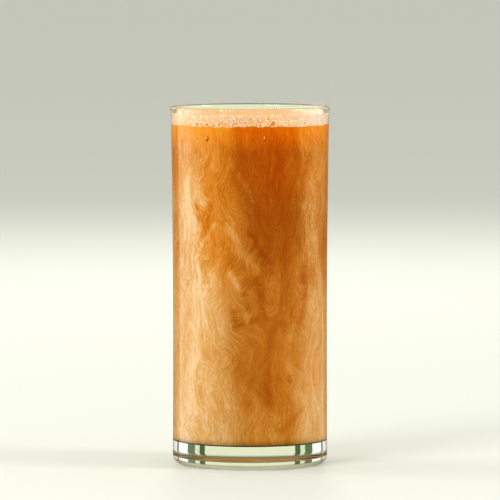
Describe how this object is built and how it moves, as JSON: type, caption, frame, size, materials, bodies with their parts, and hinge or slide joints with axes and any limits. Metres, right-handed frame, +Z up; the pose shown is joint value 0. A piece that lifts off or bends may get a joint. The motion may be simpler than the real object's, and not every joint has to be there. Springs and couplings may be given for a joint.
{
  "type": "shakerato",
  "caption": "Milky shaken iced coffee with swirls and a frothy head, filling a tall straight clear glass with a thick base.",
  "frame": {"origin": "on the glass's axis, at the level that the glass stands on", "axes": "+Z up along the glass's axis; -Y towards the picture's camera"},
  "size_m": [0.0666, 0.0666, 0.15],
  "materials": {
    "glass": "clear and polished, faintly green where it is thick",
    "coffee": "opaque milky coffee, marbled from deep amber to cream",
    "foam": "fine pale froth with small bubbles"
  },
  "bodies": {
    "root": {"glass": "glass", "coffee": "coffee", "foam": "foam"}
  },
  "joints": []
}
